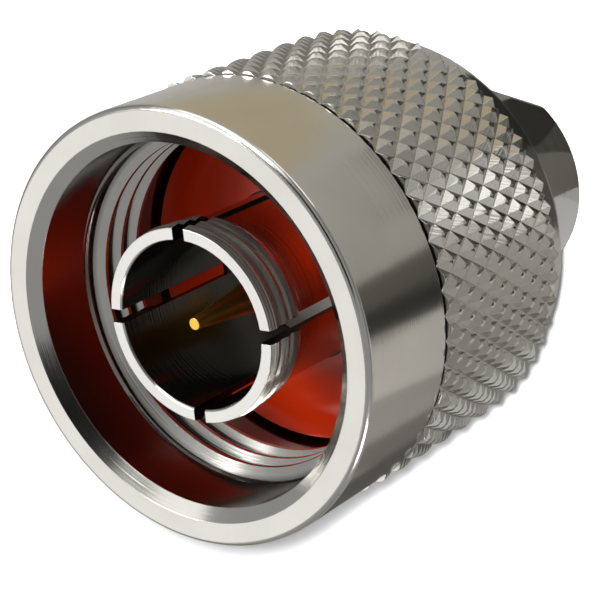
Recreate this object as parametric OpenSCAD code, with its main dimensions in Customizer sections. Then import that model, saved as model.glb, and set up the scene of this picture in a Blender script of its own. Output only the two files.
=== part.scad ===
// Coaxial plug with a free-turning knurled coupling nut, clamped to its cable by a nut with two wrench flats.
// The plug's axis is Z, with the mouth at the top and the clamp nut's end face at z = 0.

/* [Clamp nut] */
// Diameter of the round head
head_d = 10.92; // [10.2:0.02:11.6]
// Across the two wrench flats of the head
head_af = 9.44; // [9:0.02:9.8]
// Height of the head along the axis
head_h = 4.1; // [3.5:0.1:6]
// Turn of the wrench flats from the first slot of the outer contact, in degrees
head_turn = -13.5; // [-90:0.5:90]
// Diameter of the threaded neck that screws into the body
neck_d = 7.7; // [7.2:0.05:8]
// Length of the neck below the washer
neck_l = 3.2; // [2.4:0.1:5]
// Diameter of the hole for the cable
cable_d = 5.4; // [4.4:0.1:5.8]
// Width of the bevel round the mouth of the cable hole
cable_bevel = 0.35; // [0.1:0.05:0.6]
// Depth of the undercuts at the ends of the neck's thread
undercut = 0.25; // [0.1:0.05:0.4]

/* [Cable clamp] */
// Thickness of the thrust washer
washer_t = 0.5; // [0.3:0.1:1]
// Thickness of the rubber cable gasket
cable_gasket_t = 1.5; // [1:0.1:2.5]
// How far the rubber gasket reaches inside the cable hole's wall
cable_grip = 0.2; // [0.1:0.05:0.3]
// Depth of the vee groove in the rubber cable gasket
vee_depth = 0.45; // [0.2:0.05:0.6]
// Width of the flat lips on each side of the vee groove
vee_lip = 0.15; // [0.1:0.05:0.3]
// Length of the braid clamp
braid_clamp_l = 1.6; // [1.3:0.1:2.6]
// Height of the braid clamp's straight rim
braid_rim_h = 0.5; // [0.3:0.1:0.9]
// Width of the braid clamp's taper
braid_taper_w = 0.9; // [0.5:0.1:1.2]
// Diameter of the hole in the braid clamp for the cable's core
core_d = 3.3; // [2.8:0.1:3.8]

/* [Body] */
// Diameter of the barrel behind the coupling nut
barrel_d = 9.8; // [9.5:0.1:10.6]
// Across the two wrench flats of the barrel
barrel_af = 9; // [8.8:0.05:9.3]
// Height of the wrench flats of the barrel
barrel_flat_h = 3.4; // [2:0.1:4]
// Diameter of the journal that the coupling nut turns on
journal_d = 13; // [12.6:0.1:13.4]
// Length of the journal below the flange
journal_l = 4.4; // [3.4:0.1:5.2]
// Diameter of the flange under the face gasket
flange_d = 15.3; // [14.6:0.1:15.9]
// Thickness of the flange
flange_t = 1.4; // [1:0.1:1.8]
// Depth of the socket that holds the outer contact
socket_l = 3.5; // [2.8:0.1:4.2]
// Width of the broken edges
edge_break = 0.15; // [0.05:0.01:0.2]

/* [Snap ring] */
// Thickness of the snap ring
ring_t = 0.8; // [0.5:0.05:1]
// Inner diameter of the snap ring
ring_inner_d = 11.7; // [11.2:0.1:11.9]
// Outer diameter of the snap ring
ring_outer_d = 14.1; // [13.8:0.1:14.6]
// Width of the split in the snap ring
ring_gap = 1.6; // [1:0.1:3]
// Distance of the snap ring's upper face below the flange
ring_drop = 1.4; // [1:0.1:2]

/* [Face gasket] */
// Outer diameter of the face gasket
gasket_outer_d = 15.8; // [14:0.1:15.9]
// Thickness of the face gasket
gasket_t = 1.2; // [0.8:0.1:1.8]
// Clearance of the face gasket round the outer contact
gasket_fit = 0.1; // [0.05:0.01:0.2]

/* [Outer contact] */
// Outer diameter of the contact's tube
contact_d = 8; // [7.9:0.02:8.1]
// Diameter of the contact's bore
contact_bore_d = 7.5; // [7.3:0.02:7.6]
// Length of the contact from its seat to its tip
contact_l = 12.35; // [11.6:0.05:12.9]
// Outer diameter of the sprung tip
tip_d = 8.8; // [8.5:0.05:8.9]
// Width of the bevel inside the tip
tip_bevel = 0.08; // [0.05:0.01:0.2]
// Length of the turned beads behind the tip
tip_l = 2.3; // [1.8:0.1:3]
// Number of turned beads behind the tip
tip_beads = 3; // [2:1:4]
// Height of each bead over its groove
bead_h = 0.14; // [0.05:0.01:0.2]
// Step down in radius from one bead to the next
bead_step = 0.05; // [0:0.01:0.06]
// Number of slots
slots = 4; // [3:1:6]
// Width of a slot
slot_w = 0.6; // [0.4:0.05:0.8]
// Length of a slot
slot_l = 7.4; // [5:0.1:7.6]

/* [Centre pin] */
// Diameter of the pin
pin_d = 1.64; // [1.5:0.02:1.8]
// Diameter of the pin's shank inside the front insulator
shank_d = 2.1; // [2:0.05:2.5]
// How far the shank stands out of the front insulator
shank_proud = 0.15; // [0.05:0.05:0.5]
// Diameter of the pin's flat point
point_d = 0.52; // [0.3:0.02:0.8]
// Length of the pin's slender needle
needle_l = 3.1; // [2.4:0.1:4]
// Diameter at the root of the needle
needle_d = 1.24; // [1:0.02:1.4]
// Length of the cone between the needle and the full pin
cone_l = 1.3; // [0.6:0.1:1.8]
// How far the pin's point lies below the tip of the outer contact
pin_setback = 0.35; // [0.1:0.05:1.5]
// Diameter of the pin's shoulder
shoulder_d = 3; // [2.7:0.1:3.4]
// Thickness of the pin's shoulder
shoulder_t = 0.6; // [0.4:0.1:1]
// Diameter of the pin's solder cup
cup_d = 2.3; // [2.2:0.05:2.5]
// Length of the solder cup below the rear insulator
cup_l = 1; // [0.5:0.1:1.2]
// Diameter of the hole in the solder cup
cup_bore = 1.3; // [1:0.05:1.5]
// Depth of the hole in the solder cup
cup_depth = 1.4; // [1:0.1:1.6]

/* [Insulators] */
// Thickness of the rear insulator
rear_insulator_t = 1; // [0.6:0.1:1.6]
// Length of the front insulator
front_insulator_l = 3.3; // [2.4:0.1:4.5]

/* [Coupling nut] */
// Length of the coupling nut
nut_l = 16.55; // [16.1:0.05:18]
// Diameter of the plain collar
collar_d = 19.5; // [19:0.1:20.4]
// Length of the plain collar
collar_l = 5.6; // [4.6:0.1:5.8]
// Radius of the collar's rounded front edge
rim_round = 0.25; // [0.1:0.05:0.5]
// Diameter of the mouth at the front face
mouth_d = 17.3; // [16.9:0.1:18]
// Depth of the mouth's bevel
mouth_bevel = 0.45; // [0.2:0.05:0.8]
// Diameter of the plain bore in front of the thread
bore_d = 16.2; // [16.1:0.05:16.5]
// Depth of the plain bore from the front face
bore_l = 3.25; // [2.6:0.05:3.8]
// Major diameter of the coupling thread
thread_d = 16; // [15.9:0.02:16.06]
// Length of the threaded stretch
thread_l = 3.45; // [3:0.05:4]
// Diameter of the relief behind the thread
relief_d = 16.4; // [16.3:0.1:17]
// Length of the wall round the journal
rear_wall_l = 5.4; // [4.6:0.1:5.8]
// Diameter of the plain band at the rear
band_d = 18.44; // [18.2:0.02:18.8]
// Radius of the rear band's rounded edge
rear_round = 0.4; // [0.2:0.05:0.6]
// Width of the bevels at the ends of the relief and the journal bore
bore_lead = 0.25; // [0.1:0.05:0.3]

/* [Knurl] */
// Diameter over the flat tops of the diamonds
knurl_d = 19.8; // [19.4:0.02:20.4]
// Depth of the grooves below the flat tops
knurl_depth = 0.26; // [0.15:0.01:0.36]
// Length of the knurled stretch
knurl_l = 9.1; // [8.6:0.1:9.5]
// Number of diamonds round the nut
knurl_count = 56; // [44:1:64]
// Number of half rows of diamonds before the last, part one
knurl_rows = 10; // [7:1:12]
// Share of a half row left at the rear end
knurl_tail = 0.7; // [0.3:0.05:0.7]
// Size of a flat top as a share of its diamond
knurl_flat = 0.3; // [0.1:0.01:0.35]
// How far a flat top is crowned
knurl_crown = 0.03; // [0.01:0.01:0.05]
// Turn of the first diamond from the first slot of the outer contact, in degrees
knurl_turn = 2.9; // [0:0.1:6.4]
// How deep the knurled ring is rooted below its grooves and the rear band
knurl_sink = 0.2; // [0.15:0.05:0.6]
// Width of the groove between the collar and the knurl
knurl_gap = 0.12; // [0.05:0.01:0.25]

/* [Fits] */
// Running clearance of the coupling nut on the journal, each side
run_fit = 0.08; // [0.03:0.01:0.1]
// Clearance of a piece in its bore, each side
seat_fit = 0.03; // [0.02:0.01:0.06]
// Clearance of the neck and washer in the clamp chamber, each side
thread_fit = 0.05; // [0.03:0.01:0.1]
// End play of the coupling nut under the flange
end_play = 0.15; // [0.05:0.05:0.25]

/* [Hidden] */
$fn = 96;

// Heights of the pieces that are stacked in the body, from the cable end up
washer_z = head_h + neck_l;
cable_gasket_z = washer_z + washer_t;
braid_clamp_z = cable_gasket_z + cable_gasket_t;
rear_insulator_z = braid_clamp_z + braid_clamp_l;
socket_z = rear_insulator_z + rear_insulator_t;
seat_z = socket_z + socket_l;
flange_z = seat_z - flange_t;
journal_z = flange_z - journal_l;
contact_tip_z = socket_z + contact_l;
pin_tip_z = contact_tip_z - pin_setback;
nut_z = flange_z - end_play - rear_wall_l;
ring_z = flange_z - ring_drop - ring_t;

// Radii that fit one piece to another
chamber_r = neck_d / 2 + thread_fit;
insulator_r = contact_bore_d / 2 - seat_fit;
nut_bore_r = journal_d / 2 + run_fit;
body_groove_r = ring_inner_d / 2 - seat_fit;
nut_groove_r = ring_outer_d / 2 + run_fit;

// Knurl: the floor of its grooves, the ring's inner wall, its crests' height, and the rise of half a row
valley_r = knurl_d / 2 - knurl_depth;
knurl_root_r = min(valley_r, band_d / 2) - knurl_sink;
crest_h = knurl_depth / (1 - knurl_flat);
row_end = knurl_rows + knurl_tail;
half_row = knurl_l / row_end;

// How far a cut runs past the faces it opens
past = 1;

// Points of a quarter round of radius r about [x, y], from angle a0 to a1
function arc(x, y, r, a0, a1, n = 6) =
    [for (i = [0:n]) let (a = a0 + (a1 - a0) * i / n) [x + r * cos(a), y + r * sin(a)]];

// Flat ring between two radii, standing on height z
module ring(r_out, r_in, z, h) {
    translate([0, 0, z]) rotate_extrude() translate([r_in, 0]) square([r_out - r_in, h]);
}

// Two flats cut at distance half_af from the axis, between two heights
module wrench_flats(half_af, d, bottom, top) {
    for (side = [0, 180]) rotate(side)
        translate([half_af, -d, bottom]) cube([d, 2 * d, top - bottom]);
}

// Round-headed nut with two wrench flats, its threaded neck and the cable hole
module clamp_nut() {
    head_r = head_d / 2;
    neck_r = neck_d / 2;
    cable_r = cable_d / 2;
    color("silver") difference() {
        rotate_extrude() polygon([[cable_r + cable_bevel, 0], [head_r - edge_break, 0], [head_r, edge_break],
            [head_r, head_h - edge_break], [head_r - edge_break, head_h], [neck_r - undercut, head_h],
            [neck_r - undercut, head_h + undercut], [neck_r, head_h + 2 * undercut],
            [neck_r, washer_z - undercut], [neck_r - undercut, washer_z], [cable_r, washer_z],
            [cable_r, cable_bevel]]);
        rotate(head_turn) wrench_flats(head_af / 2, head_d, -past, head_h + undercut);
    }
}

// Thrust washer between the neck and the rubber gasket
module clamp_washer() {
    color("gainsboro") ring(chamber_r - thread_fit, cable_d / 2 + thread_fit, washer_z, washer_t);
}

// Rubber ring with a vee groove, squeezed on to the cable's jacket
module cable_gasket() {
    r_in = cable_d / 2 - cable_grip;
    r_out = chamber_r - thread_fit;
    mid = (r_in + r_out) / 2;
    half = (r_out - r_in) / 2 - vee_lip;
    color("dimgray") translate([0, 0, cable_gasket_z]) rotate_extrude()
        polygon([[r_in, 0], [r_out, 0], [r_out, cable_gasket_t], [mid + half, cable_gasket_t],
            [mid, cable_gasket_t - vee_depth], [mid - half, cable_gasket_t], [r_in, cable_gasket_t]]);
}

// Tapered ferrule that traps the cable's braid
module braid_clamp() {
    r_out = chamber_r - thread_fit;
    color("silver") translate([0, 0, braid_clamp_z]) rotate_extrude()
        polygon([[core_d / 2, 0], [r_out, 0], [r_out, braid_rim_h], [r_out - braid_taper_w, braid_clamp_l],
            [core_d / 2, braid_clamp_l]]);
}

// Washer of insulation behind the pin's shoulder
module rear_insulator() {
    color("white") ring(insulator_r, cup_d / 2 + seat_fit, rear_insulator_z, rear_insulator_t);
}

// Bead of insulation that carries the pin, with a pocket for its shoulder
module front_insulator() {
    color("white") translate([0, 0, socket_z]) rotate_extrude()
        polygon([[shoulder_d / 2 + seat_fit, 0], [insulator_r, 0], [insulator_r, front_insulator_l],
            [shank_d / 2 + seat_fit, front_insulator_l], [shank_d / 2 + seat_fit, shoulder_t],
            [shoulder_d / 2 + seat_fit, shoulder_t]]);
}

// Turned pin with a slender needle, a shank, a shoulder and a solder cup
module centre_pin() {
    pin_l = pin_tip_z - socket_z;
    shank_top = front_insulator_l + shank_proud;
    cup_base = -rear_insulator_t - cup_l;
    color("gold") translate([0, 0, socket_z]) difference() {
        rotate_extrude() polygon([[0, cup_base], [cup_d / 2, cup_base], [cup_d / 2, 0], [shoulder_d / 2, 0],
            [shoulder_d / 2, shoulder_t], [shank_d / 2, shoulder_t], [shank_d / 2, shank_top],
            [pin_d / 2, shank_top], [pin_d / 2, pin_l - needle_l - cone_l], [needle_d / 2, pin_l - needle_l],
            [point_d / 2, pin_l], [0, pin_l]]);
        translate([0, 0, cup_base - past]) cylinder(h = past + cup_depth, d = cup_bore);
    }
}

// Turned body: barrel with wrench flats, journal with a ring groove, flange and socket
module body() {
    barrel_r = barrel_d / 2;
    journal_r = journal_d / 2;
    flange_r = flange_d / 2;
    groove_bottom = ring_z - seat_fit;
    groove_top = ring_z + ring_t + seat_fit;
    socket_r = contact_d / 2 + seat_fit;
    color("silver") difference() {
        rotate_extrude() polygon([[chamber_r, head_h], [barrel_r - edge_break, head_h],
            [barrel_r, head_h + edge_break], [barrel_r, journal_z], [journal_r - 2 * edge_break, journal_z],
            [journal_r, journal_z + 2 * edge_break], [journal_r, groove_bottom],
            [body_groove_r, groove_bottom], [body_groove_r, groove_top], [journal_r, groove_top],
            [journal_r, flange_z], [flange_r - edge_break, flange_z], [flange_r, flange_z + edge_break],
            [flange_r, seat_z - edge_break], [flange_r - edge_break, seat_z], [socket_r, seat_z],
            [socket_r, socket_z], [contact_bore_d / 2, socket_z], [contact_bore_d / 2, rear_insulator_z],
            [chamber_r, rear_insulator_z]]);
        wrench_flats(barrel_af / 2, barrel_d, head_h - past, head_h + barrel_flat_h);
    }
}

// Slotted spring tube with turned beads behind its tip
module outer_contact() {
    bead_l = tip_l / tip_beads;
    tube_r = contact_d / 2;
    bore_r = contact_bore_d / 2;
    tip_r = tip_d / 2;
    beads = [for (i = [tip_beads - 1:-1:0]) let (top = contact_l - i * bead_l, r = tip_r - bead_step * i)
        each [[r - bead_h, top - bead_l], [r, top - bead_l * 0.6], [r - bead_h / 3, top - bead_l * 0.2]]];
    color("whitesmoke") difference() {
        translate([0, 0, socket_z]) rotate_extrude() polygon(concat(
            [[bore_r, 0], [tube_r, 0], [tube_r, contact_l - tip_l - edge_break]], beads,
            [[tip_r - bead_h / 2, contact_l], [bore_r + tip_bevel, contact_l],
             [bore_r, contact_l - tip_bevel]]));
        for (i = [0:slots - 1]) rotate(i * 360 / slots) translate([0, -slot_w / 2, contact_tip_z - slot_l])
            cube([tip_d, slot_w, slot_l + past]);
    }
}

// Soft flat ring that seals against the mating shell
module face_gasket() {
    color("orangered") ring(gasket_outer_d / 2, contact_d / 2 + gasket_fit, seat_z, gasket_t);
}

// Split ring that keeps the coupling nut on the body
module snap_ring() {
    color("gray") difference() {
        ring(ring_outer_d / 2, ring_inner_d / 2, ring_z, ring_t);
        translate([0, -ring_gap / 2, ring_z - past]) cube([ring_outer_d, ring_gap, ring_t + 2 * past]);
    }
}

// Point of the knurl at column i, half row v and share h of the crests' height over the grooves
function knurl_point(i, v, h) =
    let (r = valley_r + crest_h * h, a = i * 180 / knurl_count) [r * cos(a), r * sin(a), v * half_row];

// Ring of flat-topped diamonds in a chessboard of crests and groove crossings. Its first row is cut
// through the crests, and the last row ends part way down the diamonds.
module knurl_ring() {
    around = 2 * knurl_count;
    top_h = 1 - knurl_flat;
    is_crest = function(row, i) (row + i) % 2 == 0;

    // Crossings and crowns, then the four corners of each flat top, the rear rim and the inner wall
    grid = [for (row = [0:knurl_rows], i = [0:around - 1])
        knurl_point(i, row, is_crest(row, i) ? top_h + knurl_crown / crest_h : 0)];
    tops = [for (row = [0:knurl_rows], i = [row % 2:2:around - 1], k = [0:3])
        knurl_point(i + knurl_flat * cos(k * 90), max(0, row + knurl_flat * sin(k * 90)), top_h)];
    rim = [for (i = [0:around - 1], share = [is_crest(knurl_rows, i) ? 1 - knurl_tail : knurl_tail])
        each [knurl_point(i, row_end, share), knurl_point(i + share, row_end, 0)]];
    wall = [for (v = [0, row_end], i = [1:2:around - 1])
        let (a = i * 180 / knurl_count) [knurl_root_r * cos(a), knurl_root_r * sin(a), v * half_row]];

    // Places of those points in the list, all counted round the ring
    at = function(row, i) row * around + (i + around) % around;
    top = function(row, i, k) len(grid) + 4 * (row * knurl_count + floor(i / 2)) + (k + 4) % 4;
    edge = function(i) len(grid) + len(tops) + 2 * ((i + around) % around);
    fold = function(i) edge(i) + 1;
    inner = function(end, i)
        len(grid) + len(tops) + len(rim) + end * knurl_count + floor(i / 2) % knurl_count;

    crests = [for (row = [0:knurl_rows], i = [row % 2:2:around - 1]) [row, i]];
    crossing = function(c, k) k % 4 == 0 ? at(c[0], c[1] + 1) : k % 4 == 1 ? at(c[0] + 1, c[1])
        : k % 4 == 2 ? at(c[0], c[1] - 1) : at(c[0] - 1, c[1]);
    flanks = [for (c = crests, k = [c[0] == knurl_rows ? 2 : 0:c[0] == 0 ? 1 : 3])
        each [[crossing(c, k + 1), crossing(c, k), top(c[0], c[1], k)],
              [crossing(c, k + 1), top(c[0], c[1], k), top(c[0], c[1], k + 1)]]];
    crowns = [for (c = crests, k = [0:c[0] == 0 ? 1 : 3])
        [top(c[0], c[1], k + 1), top(c[0], c[1], k), at(c[0], c[1])]];
    tails = [for (i = [0:around - 1]) let (last = knurl_rows) each is_crest(last, i)
        ? [[edge(i), fold(i), top(last, i, 1)], [fold(i), at(last, i + 1), top(last, i, 0)],
           [fold(i), top(last, i, 0), top(last, i, 1)], [fold(i - 1), edge(i), top(last, i, 1)],
           [fold(i - 1), top(last, i, 1), top(last, i, 2)], [fold(i - 1), top(last, i, 2), at(last, i - 1)]]
        : [[at(last, i), fold(i - 1), edge(i)], [at(last, i), edge(i), fold(i)]]];
    walls = [for (i = [1:2:around - 1]) each [
        [at(0, i), top(0, (i + 1) % around, 2), at(0, i + 1), top(0, (i + 1) % around, 0), at(0, i + 2),
         inner(0, i + 2), inner(0, i)],
        [inner(1, i), inner(1, i + 2), edge(i + 2), fold(i + 1), edge(i + 1), fold(i), edge(i)],
        [inner(0, i), inner(0, i + 2), inner(1, i + 2), inner(1, i)]]];
    polyhedron(concat(grid, tops, rim, wall), concat(flanks, crowns, tails, walls));
}

// Coupling nut: plain collar, knurled grip, bevelled mouth, thread bore, relief and rear wall
module coupling_nut() {
    collar_r = collar_d / 2;
    band_r = band_d / 2;
    collar_z = nut_l - collar_l;
    thread_z = nut_l - bore_l;
    relief_z = thread_z - thread_l;
    groove_bottom = ring_z - nut_z - run_fit;
    groove_top = groove_bottom + ring_t + 2 * run_fit;
    color("lightgray") translate([0, 0, nut_z]) union() {
        rotate_extrude() polygon(concat(
            [[nut_bore_r + bore_lead, 0]], arc(band_r - rear_round, rear_round, rear_round, -90, 0),
            [[band_r, collar_z], [collar_r - edge_break / 2, collar_z],
             [collar_r, collar_z + edge_break / 2]],
            arc(collar_r - rim_round, nut_l - rim_round, rim_round, 0, 90),
            [[mouth_d / 2, nut_l], [bore_d / 2, nut_l - mouth_bevel], [bore_d / 2, thread_z],
             [thread_d / 2, thread_z - edge_break], [thread_d / 2, relief_z],
             [relief_d / 2, relief_z - bore_lead], [relief_d / 2, rear_wall_l], [nut_bore_r, rear_wall_l],
             [nut_bore_r, groove_top], [nut_groove_r, groove_top], [nut_groove_r, groove_bottom],
             [nut_bore_r, groove_bottom], [nut_bore_r, bore_lead]]));
        translate([0, 0, collar_z - knurl_gap]) rotate([180, 0, knurl_turn]) knurl_ring();
    }
}

clamp_nut();
clamp_washer();
cable_gasket();
braid_clamp();
rear_insulator();
front_insulator();
centre_pin();
body();
outer_contact();
face_gasket();
snap_ring();
coupling_nut();
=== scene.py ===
import math
import bpy
from mathutils import Euler, Matrix, Vector


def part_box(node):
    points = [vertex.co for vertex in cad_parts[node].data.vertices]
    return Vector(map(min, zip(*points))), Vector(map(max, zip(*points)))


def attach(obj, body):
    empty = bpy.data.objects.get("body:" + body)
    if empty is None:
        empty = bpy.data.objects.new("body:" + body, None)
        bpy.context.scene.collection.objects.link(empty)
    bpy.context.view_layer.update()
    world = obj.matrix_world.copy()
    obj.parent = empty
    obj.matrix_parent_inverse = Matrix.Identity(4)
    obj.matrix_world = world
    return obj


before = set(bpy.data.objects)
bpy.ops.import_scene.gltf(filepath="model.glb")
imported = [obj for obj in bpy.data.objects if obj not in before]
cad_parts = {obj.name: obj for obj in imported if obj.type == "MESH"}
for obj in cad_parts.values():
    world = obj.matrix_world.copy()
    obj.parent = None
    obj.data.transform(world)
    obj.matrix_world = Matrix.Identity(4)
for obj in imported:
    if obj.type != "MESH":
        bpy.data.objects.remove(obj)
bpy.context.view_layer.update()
scene = bpy.context.scene

# every size below is in millimetres, every angle in degrees
millimetre = 0.001
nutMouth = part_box("coupling_nut")[1][2] / millimetre
print("frame loaded:", len(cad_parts), "nodes, the nut's mouth at", round(nutMouth, 2), "mm")


def linear(hexColour):
    channels = [int(hexColour[i:i + 2], 16) / 255 for i in (1, 3, 5)]
    return [c / 12.92 if c <= 0.04045 else ((c + 0.055) / 1.055) ** 2.4 for c in channels] + [1]


def addNode(tree, kind, settings=None, inputs=None):
    node = tree.nodes.new(kind)
    for name, value in (settings or {}).items():
        setattr(node, name, value)
    for name, value in (inputs or {}).items():
        if isinstance(value, bpy.types.NodeSocket):
            tree.links.new(value, node.inputs[name])
        else:
            node.inputs[name].default_value = value
    return node


def newMaterial(name):
    material = bpy.data.materials.new(name)
    material.use_nodes = True
    tree = material.node_tree
    tree.nodes.clear()
    output = addNode(tree, "ShaderNodeOutputMaterial")
    return material, tree, output


# the camera looks down into the mouth, rolled so that the cable end lies at the upper right
cameraSizes = {
    "lens": 120,
    "distance": 89.745,
    "azimuth": 27.456,
    "elevation": 48.627,
    "roll": -117.204,
    "aim": (-1.012, -0.526, 17.168),
    "clip": (1, 10000),
}


def makeCamera(s):
    camera = bpy.data.objects.new("camera", bpy.data.cameras.new("camera"))
    scene.collection.objects.link(camera)
    camera.data.lens = s["lens"]
    camera.data.clip_start, camera.data.clip_end = (end * millimetre for end in s["clip"])
    upright = Euler((math.radians(90 - s["elevation"]), 0, math.radians(s["azimuth"]))).to_matrix()
    turned = upright @ Matrix.Rotation(math.radians(s["roll"]), 3, "Z")
    camera.rotation_euler = turned.to_euler()
    camera.location = Vector(s["aim"]) * millimetre + turned @ Vector((0, 0, s["distance"] * millimetre))
    scene.camera = camera


makeCamera(cameraSizes)
print("camera placed")


# the coupling thread is too fine for the solids, so its ridge is wound here, rooted in the nut's bore
threadSizes = {
    "pitch": 1.058,
    "rootRadius": 8.04,
    "crestRadius": 7.5,
    "rootWidth": 0.86,
    "crestWidth": 0.18,
    "startDepth": 7.4,     # depths are taken from the nut's mouth
    "lowestDepth": 6.4,    # full height ends here at the bottom
    "highestDepth": 3.65,  # and here at the top
    "leadSlope": 1.2,      # how fast the crest then runs out into the wall
    "turns": 4.4,
    "stepsPerTurn": 96,
    "startAngle": 40,
    "weld": 0.001,
    "smoothAngle": 35,
}


def selectOnly(piece):
    bpy.ops.object.select_all(action="DESELECT")
    piece.select_set(True)
    bpy.context.view_layer.objects.active = piece


def settle(piece):
    selectOnly(piece)
    bpy.ops.object.transform_apply(location=True, rotation=True, scale=True)


def selectInnerEdge(piece):
    bpy.ops.object.mode_set(mode="EDIT")
    bpy.ops.mesh.select_mode(type="VERT")
    bpy.ops.mesh.select_all(action="DESELECT")
    bpy.ops.object.mode_set(mode="OBJECT")
    for vertex in piece.data.vertices:
        vertex.select = vertex.co.x < 0
    bpy.ops.object.mode_set(mode="EDIT")


def makeThread(s):
    bpy.ops.object.select_all(action="DESELECT")
    height = s["rootRadius"] - s["crestRadius"]
    # the ridge's section: a flat rectangle on edge, narrowed to the crest on the axis's side
    bpy.ops.mesh.primitive_plane_add(size=millimetre, rotation=(math.radians(90), 0, 0))
    thread = bpy.context.object
    thread.name = "couplingThread"
    thread.scale = (height, s["rootWidth"], 1)
    settle(thread)
    selectInnerEdge(thread)
    bpy.ops.transform.resize(value=(1, 1, s["crestWidth"] / s["rootWidth"]), center_override=(0, 0, 0))
    bpy.ops.object.mode_set(mode="OBJECT")
    thread.location = Vector((s["crestRadius"] + height / 2, 0, nutMouth - s["startDepth"])) * millimetre
    settle(thread)
    helix = thread.modifiers.new("helix", "SCREW")
    helix.axis = "Z"
    helix.angle = math.tau * s["turns"]
    helix.screw_offset = s["pitch"] * s["turns"] * millimetre
    helix.steps = helix.render_steps = round(s["stepsPerTurn"] * s["turns"])
    bpy.ops.object.modifier_apply(modifier=helix.name)
    thread.rotation_euler = (0, 0, math.radians(s["startAngle"]))
    settle(thread)
    # both ends run out along a cone into the wall, as where the tap enters and leaves
    for vertex in thread.data.vertices:
        depth = nutMouth - vertex.co.z / millimetre
        past = max(depth - s["lowestDepth"], s["highestDepth"] - depth, 0)
        radius = vertex.co.xy.length
        wanted = max(radius, (s["crestRadius"] + s["leadSlope"] * past) * millimetre)
        vertex.co.x *= wanted / radius
        vertex.co.y *= wanted / radius
    selectOnly(thread)
    bpy.ops.object.mode_set(mode="EDIT")
    bpy.ops.mesh.select_all(action="SELECT")
    bpy.ops.mesh.remove_doubles(threshold=s["weld"] * millimetre)
    bpy.ops.mesh.fill_holes(sides=8)
    bpy.ops.mesh.normals_make_consistent(inside=False)
    bpy.ops.object.mode_set(mode="OBJECT")
    bpy.ops.object.shade_smooth_by_angle(angle=math.radians(s["smoothAngle"]))
    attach(thread, "coupling")
    return thread


thread = makeThread(threadSizes)
print("coupling thread wound:", len(thread.data.polygons), "faces")


def distanceFromAxis(tree, place):
    flat = addNode(tree, "ShaderNodeVectorMath", {"operation": "MULTIPLY"}, {0: place, 1: (1, 1, 0)})
    radius = addNode(tree, "ShaderNodeVectorMath", {"operation": "LENGTH"}, {0: flat.outputs[0]})
    return radius.outputs["Value"]


# rings round the axis on every face that a lathe has cut, flat or round
def turningMarks(tree, place, spacing):
    split = addNode(tree, "ShaderNodeSeparateXYZ", None, {0: place})
    along = addNode(tree, "ShaderNodeMath", {"operation": "ADD"},
                    {0: distanceFromAxis(tree, place), 1: split.outputs["Z"]})
    rings = addNode(tree, "ShaderNodeTexNoise", {"noise_dimensions": "1D"},
                    {"W": along.outputs[0], "Scale": 1 / (spacing * millimetre), "Detail": 2})
    return rings.outputs["Fac"]


# painted shade: the contact's bore and its sawn slots are darkened toward a dark brown, standing in for the
# shade deep inside them
contactPaintedShadeSizes = {"boreRadius": 3.77, "boreShade": 0.76, "slotHalfWidth": 0.305}


def contactPaintedShade(tree, place):
    s = contactPaintedShadeSizes
    split = addNode(tree, "ShaderNodeSeparateXYZ", None, {0: place})
    inside = addNode(tree, "ShaderNodeMath", {"operation": "LESS_THAN"},
                     {0: distanceFromAxis(tree, place), 1: s["boreRadius"] * millimetre})
    bore = addNode(tree, "ShaderNodeMath", {"operation": "MULTIPLY"},
                   {0: inside.outputs[0], 1: s["boreShade"]})
    across = [addNode(tree, "ShaderNodeMath", {"operation": "ABSOLUTE"}, {0: split.outputs[axis]}).outputs[0]
              for axis in ("X", "Y")]
    nearest = addNode(tree, "ShaderNodeMath", {"operation": "MINIMUM"}, {0: across[0], 1: across[1]})
    slot = addNode(tree, "ShaderNodeMath", {"operation": "LESS_THAN"},
                   {0: nearest.outputs[0], 1: s["slotHalfWidth"] * millimetre})
    return addNode(tree, "ShaderNodeMath", {"operation": "MAXIMUM"},
                   {0: bore.outputs[0], 1: slot.outputs[0]}).outputs[0]


# painted shade: the nut's bore and the valleys of its thread are darkened toward a dark brown, standing in
# for the shade down inside them
nutPaintedShadeSizes = {"crestRadius": 7.8, "valleyRadius": 8.0, "boreRadius": 8.3, "lipDepth": 0.5, "shade": 0.55}


def nutPaintedShade(tree, place):
    s = nutPaintedShadeSizes
    radius = distanceFromAxis(tree, place)
    split = addNode(tree, "ShaderNodeSeparateXYZ", None, {0: place})
    deep = addNode(tree, "ShaderNodeMapRange", None,
                   {"Value": radius, "From Min": s["crestRadius"] * millimetre,
                    "From Max": s["valleyRadius"] * millimetre, "To Max": s["shade"]})
    inside = addNode(tree, "ShaderNodeMath", {"operation": "LESS_THAN"},
                     {0: radius, 1: s["boreRadius"] * millimetre})
    below = addNode(tree, "ShaderNodeMath", {"operation": "LESS_THAN"},
                    {0: split.outputs["Z"], 1: (nutMouth - s["lipDepth"]) * millimetre})
    bore = addNode(tree, "ShaderNodeMath", {"operation": "MULTIPLY"},
                   {0: inside.outputs[0], 1: below.outputs[0]})
    return addNode(tree, "ShaderNodeMath", {"operation": "MULTIPLY"},
                   {0: deep.outputs[0], 1: bore.outputs[0]}).outputs[0]


# what all turned and plated metals share: clouds in the plating, painted shade in hollows, a broken edge
platingSizes = {"cloudWidth": 2.857, "paintedShadeColour": "#3c3630", "edge": 0.04}


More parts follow.
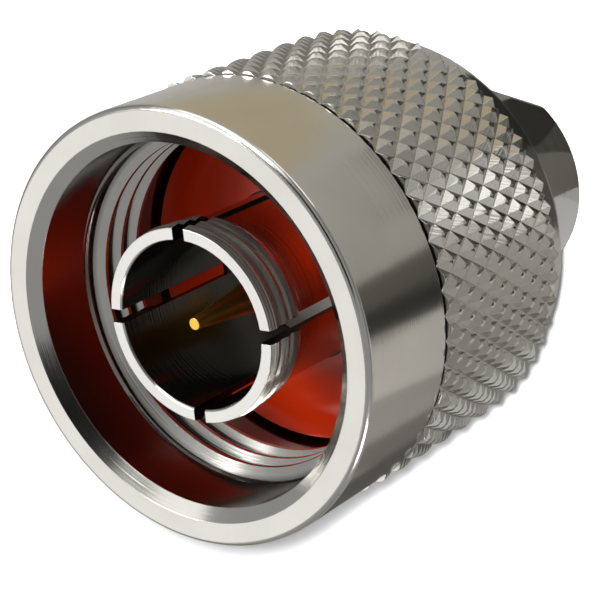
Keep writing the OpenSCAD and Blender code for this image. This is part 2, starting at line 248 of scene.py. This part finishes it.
def makeMetal(name, finish, paintedShade=None):
    material, tree, output = newMaterial(name)
    place = addNode(tree, "ShaderNodeTexCoord").outputs["Object"]
    cloud = addNode(tree, "ShaderNodeTexNoise", None,
                    {"Vector": place, "Scale": 1 / (platingSizes["cloudWidth"] * millimetre), "Detail": 3})
    colour = addNode(tree, "ShaderNodeMix", {"data_type": "RGBA"},
                     {0: cloud.outputs["Fac"], 6: linear(finish["light"]), 7: linear(finish["dark"])})
    # painted shade: where the mask is set, the colour is darkened toward a dark brown
    if paintedShade:
        dark = linear(platingSizes["paintedShadeColour"])
        colour = addNode(tree, "ShaderNodeMix", {"data_type": "RGBA"},
                         {0: paintedShade(tree, place), 6: colour.outputs[2], 7: dark})
    low, high = finish["roughness"]
    rough = addNode(tree, "ShaderNodeMapRange", None,
                    {"Value": cloud.outputs["Fac"], "To Min": low, "To Max": high})
    edge = addNode(tree, "ShaderNodeBevel", {"samples": 4}, {"Radius": platingSizes["edge"] * millimetre})
    marks = addNode(tree, "ShaderNodeBump", None,
                    {"Height": turningMarks(tree, place, finish["ringSpacing"]), "Strength": 1,
                     "Distance": finish["ringDepth"] * millimetre, "Normal": edge.outputs[0]})
    shader = addNode(tree, "ShaderNodeBsdfPrincipled", None,
                     {"Base Color": colour.outputs[2], "Metallic": 1, "Roughness": rough.outputs[0],
                      "Normal": marks.outputs[0]})
    tree.links.new(shader.outputs[0], output.inputs[0])
    return material


def makeRubber(name, finish):
    material, tree, output = newMaterial(name)
    place = addNode(tree, "ShaderNodeTexCoord").outputs["Object"]
    grain = addNode(tree, "ShaderNodeTexNoise", None,
                    {"Vector": place, "Scale": 1 / (finish["grainWidth"] * millimetre), "Detail": 2})
    skin = addNode(tree, "ShaderNodeBump", None,
                   {"Height": grain.outputs["Fac"], "Strength": 0.4,
                    "Distance": finish["grainDepth"] * millimetre})
    shader = addNode(tree, "ShaderNodeBsdfPrincipled", None,
                     {"Base Color": linear(finish["colour"]), "Roughness": finish["roughness"],
                      "Normal": skin.outputs[0]})
    tree.links.new(shader.outputs[0], output.inputs[0])
    return material


# bright nickel over turned brass: a slightly warm grey mirror, its reflections drawn out by turning rings.
# The real rings are a few hundredths of a millimetre apart, too fine to show, so on all metals here they are
# drawn coarser
nickelFinish = {
    "light": "#d0cec9",
    "dark": "#c0bdb6",
    "roughness": (0.12, 0.2),
    "ringSpacing": 0.15,
    "ringDepth": 0.004,
}
nickel = makeMetal("nickelPlatedBrass", nickelFinish)

# the same plating on the coupling nut, turned and knurled: bright outside, with painted shade in the bore and
# the thread
nutNickel = makeMetal("nickelPlatedNut", nickelFinish, nutPaintedShade)

# silver over turned and slotted phosphor bronze: whiter than the nickel, with clear rings on its fingers, and
# painted shade in its bore and slots
silverFinish = {
    "light": "#d6d4d0",
    "dark": "#c8c5c0",
    "roughness": (0.12, 0.2),
    "ringSpacing": 0.1,
    "ringDepth": 0.008,
}
silver = makeMetal("silverPlatedBronze", silverFinish, contactPaintedShade)

# thin gold over a turned brass pin: deep yellow, and satin because its rings are the deepest
goldFinish = {
    "light": "#ffcf66",
    "dark": "#f0b040",
    "roughness": (0.25, 0.35),
    "ringSpacing": 0.12,
    "ringDepth": 0.02,
}
gold = makeMetal("goldPlatedBrass", goldFinish)

# bare phosphor bronze strip, coiled and cut: a dull reddish brown, as nothing is plated over it
bronzeFinish = {
    "light": "#b98a62",
    "dark": "#a0744e",
    "roughness": (0.25, 0.35),
    "ringSpacing": 0.15,
    "ringDepth": 0.004,
}
bronze = makeMetal("phosphorBronze", bronzeFinish)

# silicone rubber from a smooth mould: strong orange red and almost wet, so it mirrors the contact beside it.
# The moulded grain is too fine to show, so it is drawn 0.4 mm wide, as on the other soft pieces
siliconeFinish = {"colour": "#ea380a", "roughness": 0.22, "grainWidth": 0.4, "grainDepth": 0.006}
silicone = makeRubber("siliconeRubber", siliconeFinish)

# nitrile rubber, moulded and matt: near black from its carbon filler
nitrileFinish = {"colour": "#1c1b1a", "roughness": 0.6, "grainWidth": 0.4, "grainDepth": 0.02}
nitrile = makeRubber("nitrileRubber", nitrileFinish)

# PTFE turned from rod: waxy white with a soft sheen, its skin as even as a rubber's
ptfeFinish = {"colour": "#e9e7e1", "roughness": 0.4, "grainWidth": 0.4, "grainDepth": 0.02}
ptfe = makeRubber("ptfe", ptfeFinish)

# which finish each solid has
dress = {
    "clamp_nut": nickel,
    "clamp_washer": nickel,
    "cable_gasket": nitrile,
    "braid_clamp": nickel,
    "rear_insulator": ptfe,
    "front_insulator": ptfe,
    "centre_pin": gold,
    "body": nickel,
    "outer_contact": silver,
    "face_gasket": silicone,
    "snap_ring": bronze,
    "coupling_nut": nutNickel,
}
for nodeName, material in dress.items():
    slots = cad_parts[nodeName].data.materials
    slots.clear()
    slots.append(material)
thread.data.materials.append(nutNickel)
print("materials given to", len(dress), "nodes and the thread")


# large soft lamps round the plug; the panel is what the mouth's flat rim mirrors
lampSizes = {
    "window": {"azimuth": 0, "elevation": 24, "distance": 90, "size": (80, 50), "aim": 22, "radiance": 1.6},
    "key": {"azimuth": 0, "elevation": 45, "distance": 160, "size": (40, 40), "aim": 10, "radiance": 8},
    "back": {"azimuth": 64, "elevation": 60, "distance": 160, "size": (40, 40), "aim": 10, "radiance": 18},
    "front": {"azimuth": -145, "elevation": 24, "distance": 160, "size": (45, 45), "aim": 10, "radiance": 10},
    "panel": {"azimuth": 117.5, "elevation": 48.6, "distance": 170, "size": (100, 100), "aim": 20,
              "radiance": 0.92},
    "side": {"azimuth": 30, "elevation": 42, "distance": 170, "size": (90, 60), "aim": 20, "radiance": 1.1},
}


def onSphere(azimuth, elevation, distance):
    a, e = math.radians(azimuth), math.radians(elevation)
    return Vector((math.cos(a) * math.cos(e), math.sin(a) * math.cos(e), math.sin(e))) * distance * millimetre


def makeLamp(name, s):
    light = bpy.data.lights.new(name, "AREA")
    light.shape = "RECTANGLE"
    light.size, light.size_y = (side * millimetre for side in s["size"])
    light.energy = s["radiance"] * math.pi * light.size * light.size_y
    lamp = bpy.data.objects.new(name, light)
    scene.collection.objects.link(lamp)
    aim = Vector((0, 0, s["aim"] * millimetre))
    lamp.location = onSphere(s["azimuth"], s["elevation"], s["distance"])
    lamp.rotation_euler = (lamp.location - aim).to_track_quat("Z", "Y").to_euler()
    lamp.visible_camera = False


# the camera sees paper under the plug, which glows to white further out, and the metal mirrors a grey table
floorSizes = {
    "width": 4000,
    "fade": (50, 130),
    "paper": {"height": 0, "colour": "#9c9c9c", "glow": (0.06, 0.95)},
    "table": {"height": -0.05, "colour": "#bcbab5", "glow": (0, 0)},
}


def makeFloor(name):
    s = floorSizes[name]
    bpy.ops.mesh.primitive_plane_add(size=floorSizes["width"] * millimetre)
    floor = bpy.context.object
    floor.name = name
    floor.location.z = s["height"] * millimetre
    material, tree, output = newMaterial(name)
    place = addNode(tree, "ShaderNodeTexCoord")
    away = addNode(tree, "ShaderNodeVectorMath", {"operation": "LENGTH"}, {0: place.outputs["Object"]})
    near, far = floorSizes["fade"]
    level = addNode(tree, "ShaderNodeMapRange", {"interpolation_type": "SMOOTHSTEP"},
                    {"Value": away.outputs["Value"], "From Min": near * millimetre,
                     "From Max": far * millimetre, "To Min": s["glow"][0], "To Max": s["glow"][1]})
    glow = addNode(tree, "ShaderNodeEmission", None, {"Strength": level.outputs[0]})
    diffuse = addNode(tree, "ShaderNodeBsdfDiffuse", None, {"Color": linear(s["colour"])})
    above = addNode(tree, "ShaderNodeAddShader", None, {0: diffuse.outputs[0], 1: glow.outputs[0]})
    # from below the floor is clear, so that the cable end can be looked at
    side = addNode(tree, "ShaderNodeNewGeometry")
    clear = addNode(tree, "ShaderNodeBsdfTransparent")
    either = addNode(tree, "ShaderNodeMixShader", None,
                     {0: side.outputs["Backfacing"], 1: above.outputs[0], 2: clear.outputs[0]})
    tree.links.new(either.outputs[0], output.inputs[0])
    floor.data.materials.append(material)
    return floor


# a small strong lamp beside the camera lights the paper alone and lays the plug's soft shadow along its edge
shadowSizes = {"left": 1.8, "up": 1.6, "size": 3.2, "radiance": 22000}


def makeShadowLamp(s, paper):
    light = bpy.data.lights.new("shadowLamp", "AREA")
    light.size = s["size"] * millimetre
    light.energy = s["radiance"] * math.pi * light.size ** 2
    lamp = bpy.data.objects.new("shadowLamp", light)
    scene.collection.objects.link(lamp)
    lamp.rotation_euler = scene.camera.rotation_euler
    beside = scene.camera.rotation_euler.to_matrix() @ Vector((-s["left"], s["up"], 0))
    lamp.location = scene.camera.location + beside * millimetre
    lamp.visible_camera = lamp.visible_glossy = False
    lit = bpy.data.collections.new("paperOnly")
    lit.objects.link(paper)
    lamp.light_linking.receiver_collection = lit


# cards round the plug that only its reflections show; those without an elevation lie on the table, where the
# round sides mirror them
cardSizes = {
    "darkStrip": {"azimuth": -97, "radius": 31, "size": (22, 6), "colour": "#3a3835"},
    "greyStrip": {"azimuth": -86, "radius": 31, "size": (22, 7), "colour": "#6a6762"},
    "nearCard": {"azimuth": -45, "radius": 17, "size": (12, 12.5), "colour": "#343230"},
    "bandCard": {"azimuth": -79, "radius": 17, "size": (8, 10), "colour": "#706d69"},
    "warmCard": {"azimuth": 12, "radius": 30, "size": (14, 36), "colour": "#bdb297"},
    "leftCard": {"azimuth": 168, "radius": 22, "size": (16, 18), "colour": "#64615d"},
    "lowerCard": {"azimuth": -162, "radius": 24, "size": (14, 8), "colour": "#8a8783"},
    "footWhite": {"azimuth": -119, "radius": 22, "size": (22, 12), "colour": "#eeebe6"},
    "topCard": {"azimuth": 58, "radius": 14, "size": (12, 20), "colour": "#85827c"},
    "headDark": {"azimuth": -44, "radius": 7, "size": (5, 5), "colour": "#4c4a47"},
    "headGrey": {"azimuth": -76, "radius": 7, "size": (5, 4.2), "colour": "#9a9792"},
    "headWhite": {"azimuth": -112, "radius": 7.5, "size": (5, 4.2), "glow": 0.6},
    "sparkRight": {"azimuth": -35, "radius": 46, "size": (12, 12), "glow": 1.9},
    "sparkMiddle": {"azimuth": -20, "radius": 53, "size": (26, 14), "glow": 1.7},
    "backStrip": {"azimuth": 0, "radius": 78, "size": (60, 30), "glow": 0.5},
    "frontStrip": {"azimuth": -112, "radius": 75, "size": (70, 24), "glow": 0.7},
    "blackCard": {"azimuth": -46, "elevation": 65.4, "radius": 102, "size": (74, 44), "colour": "#101010"},
}
cardLift = 0.2


def makeCard(name, s):
    bpy.ops.mesh.primitive_plane_add(size=millimetre, rotation=(0, 0, math.radians(s["azimuth"])))
    card = bpy.context.object
    card.name = name
    card.scale = (*s["size"], 1)
    card.location = onSphere(s["azimuth"], s.get("elevation", 0), s["radius"])
    card.location.z += cardLift * millimetre
    if "elevation" in s:
        card.rotation_euler = card.location.to_track_quat("Z", "Y").to_euler()
    card.visible_camera = card.visible_diffuse = card.visible_shadow = False
    material, tree, output = newMaterial(name)
    if "glow" in s:
        shader = addNode(tree, "ShaderNodeEmission", None, {"Strength": s["glow"]})
    else:
        shader = addNode(tree, "ShaderNodeBsdfDiffuse", None, {"Color": linear(s["colour"])})
    tree.links.new(shader.outputs[0], output.inputs[0])
    card.data.materials.append(material)


# an even sky, a little brighter in reflections, and white where the camera looks past the floor
skyLevels = {"light": 0.3, "reflected": 0.4}


def makeSky(s):
    world = bpy.data.worlds.new("studio")
    world.use_nodes = True
    tree = world.node_tree
    path = addNode(tree, "ShaderNodeLightPath")
    level = addNode(tree, "ShaderNodeMapRange", None,
                    {"Value": path.outputs["Is Glossy Ray"], "To Min": s["light"], "To Max": s["reflected"]})
    seen = addNode(tree, "ShaderNodeMath", {"operation": "MAXIMUM"},
                   {0: level.outputs[0], 1: path.outputs["Is Camera Ray"]})
    background = tree.nodes["Background"]
    background.inputs["Color"].default_value = (1, 1, 1, 1)
    tree.links.new(seen.outputs[0], background.inputs["Strength"])
    scene.world = world


paper = makeFloor("paper")
paper.visible_diffuse = paper.visible_glossy = paper.visible_shadow = False
makeFloor("table")
makeShadowLamp(shadowSizes, paper)
for name, sizes in cardSizes.items():
    makeCard(name, sizes)
for name, sizes in lampSizes.items():
    makeLamp(name, sizes)
makeSky(skyLevels)
scene.view_settings.view_transform = "Standard"
print("stage set:", len(lampSizes) + 1, "lamps and", len(cardSizes), "cards")
